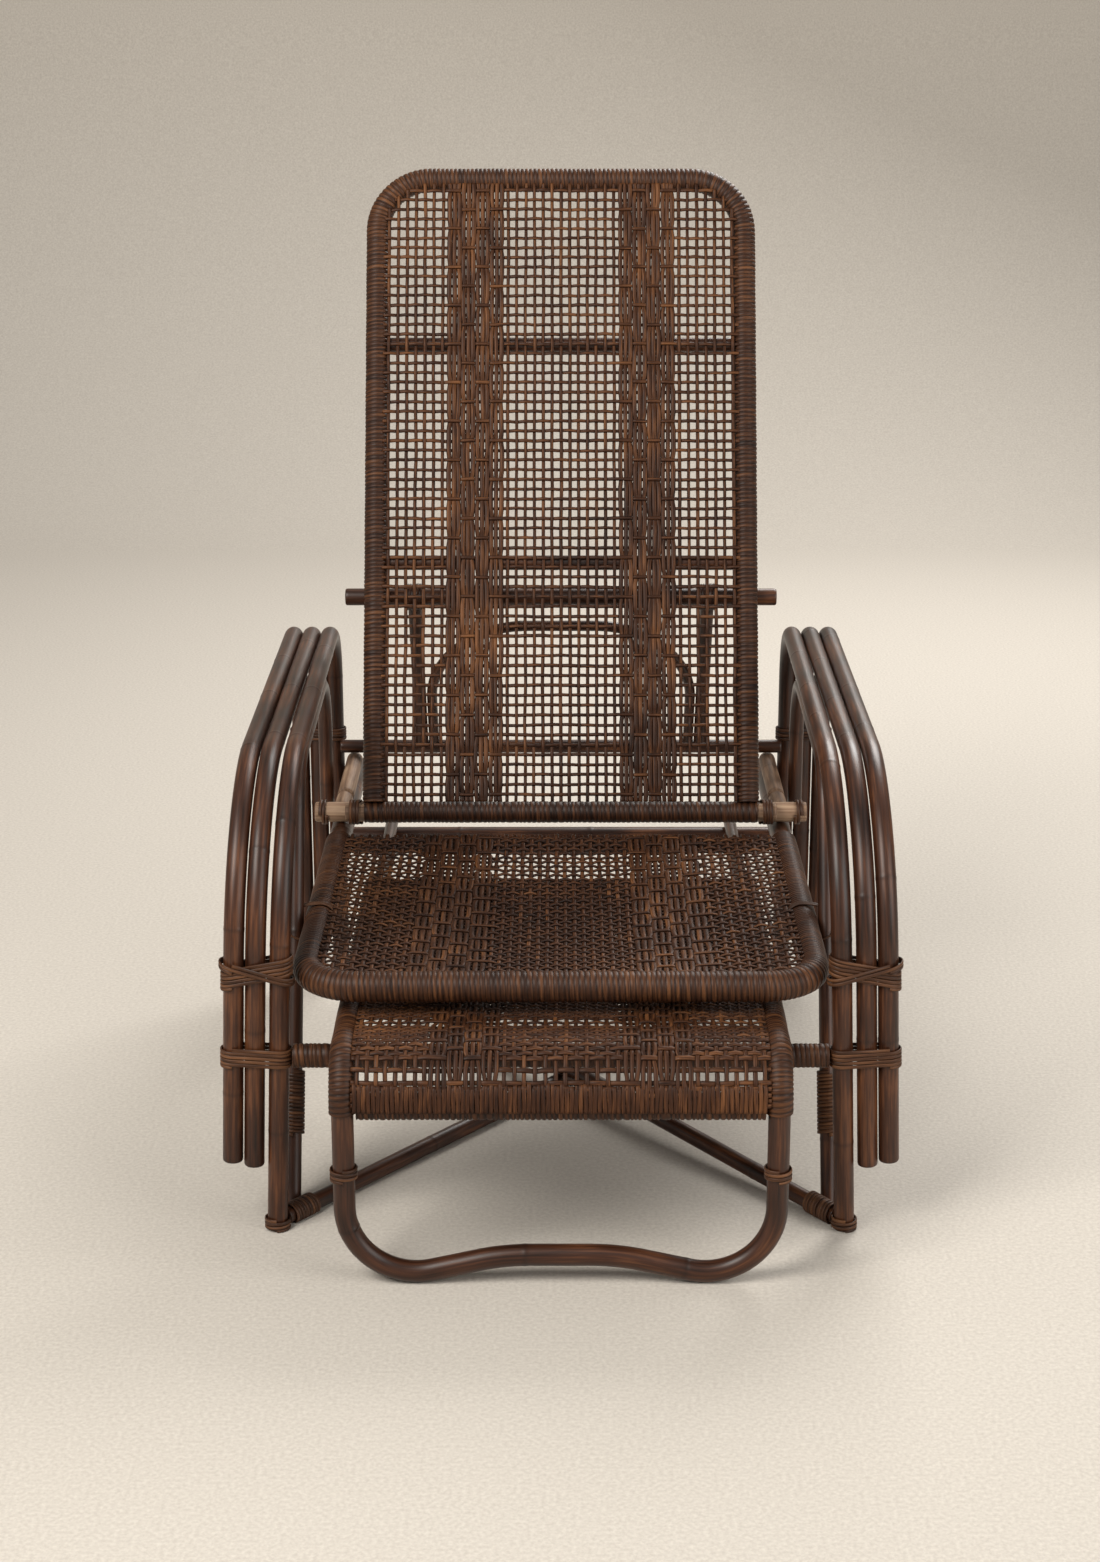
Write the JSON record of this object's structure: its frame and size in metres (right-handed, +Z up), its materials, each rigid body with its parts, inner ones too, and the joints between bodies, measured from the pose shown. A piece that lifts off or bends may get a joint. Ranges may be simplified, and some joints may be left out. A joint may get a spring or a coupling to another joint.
{
  "type": "planters chair",
  "caption": "Low rattan lounge chair with bundled cane arms, woven seat, propped adjustable back and a leg rest that pulls out.",
  "frame": {"origin": "on the floor, under the middle of the whole chair's box", "axes": "+X across the chair, -Y the way the sitter faces, +Z up"},
  "size_m": [0.7436, 0.9502, 1.0892],
  "materials": {
    "dark_cane": "aged, polished rattan pole",
    "bare_cane": "worn, unpolished rattan pole",
    "cane_wrapping": "close wrapping of split cane",
    "woven_cane": "open square weave of round core cane",
    "split_cane_tie": "glossy split cane strand"
  },
  "bodies": {
    "base": {"arch_cane_left": "dark_cane", "arch_cane_right": "dark_cane", "far_rack_left": "bare_cane", "far_rack_right": "bare_cane", "floor_brace_lower": "dark_cane", "floor_brace_upper": "dark_cane", "front_stretcher": "dark_cane", "front_stretcher_wrap": "cane_wrapping", "hinge_bar": "bare_cane", "hinge_bar_lashings": "split_cane_tie", "hinge_lashings": "split_cane_tie", "inner_arm_cane_left": "dark_cane", "inner_arm_cane_right": "dark_cane", "leg_wraps": "split_cane_tie", "lower_leg_bindings": "split_cane_tie", "middle_arm_cane_left": "dark_cane", "middle_arm_cane_right": "dark_cane", "near_rack_left": "bare_cane", "near_rack_right": "bare_cane", "outer_arm_cane_left": "dark_cane", "outer_arm_cane_right": "dark_cane", "rear_leg_bindings": "split_cane_tie", "rear_stretcher": "dark_cane", "rest_runner_left": "dark_cane", "rest_runner_right": "dark_cane", "seat_back_cane": "dark_cane", "seat_hoop": "dark_cane", "seat_weave": "woven_cane", "seat_wrap": "cane_wrapping", "upper_leg_bindings": "split_cane_tie"},
    "back": {"back_bottom_rail": "bare_cane", "back_hoop": "dark_cane", "back_lower_cross": "dark_cane", "back_rail_wrap": "cane_wrapping", "back_upper_cross": "dark_cane", "back_weave": "woven_cane", "back_wrap": "cane_wrapping", "prop_pivot_rod": "dark_cane"},
    "prop": {"prop_arch": "dark_cane", "prop_foot_bar": "dark_cane", "prop_leg_left": "dark_cane", "prop_leg_right": "dark_cane"},
    "leg_rest": {"rest_back_bar": "dark_cane", "rest_frame": "dark_cane", "rest_front_bar": "dark_cane", "rest_leg_ties": "split_cane_tie", "rest_weave": "woven_cane", "rest_wrap_left": "cane_wrapping", "rest_wrap_right": "cane_wrapping"}
  },
  "joints": [
    {"name": "back_tilt", "type": "hinge", "parent": "base", "child": "back", "pos_m": [0, 0.15091, 0.329], "axis": [1, 0, 0], "range_deg": [0, 18]},
    {"name": "prop_swing", "type": "hinge", "parent": "back", "child": "prop", "pos_m": [0, 0.28045, 0.573], "axis": [1, 0, 0], "range_deg": [-36.55, 0]},
    {"name": "rest_slide", "type": "slide", "parent": "base", "child": "leg_rest", "axis": [0, -1, 0], "range_m": [0, 0.3]}
  ],
  "couplings": [
    {"joint": "prop_swing", "follows": "back_tilt", "ratio": -2.0248}
  ]
}
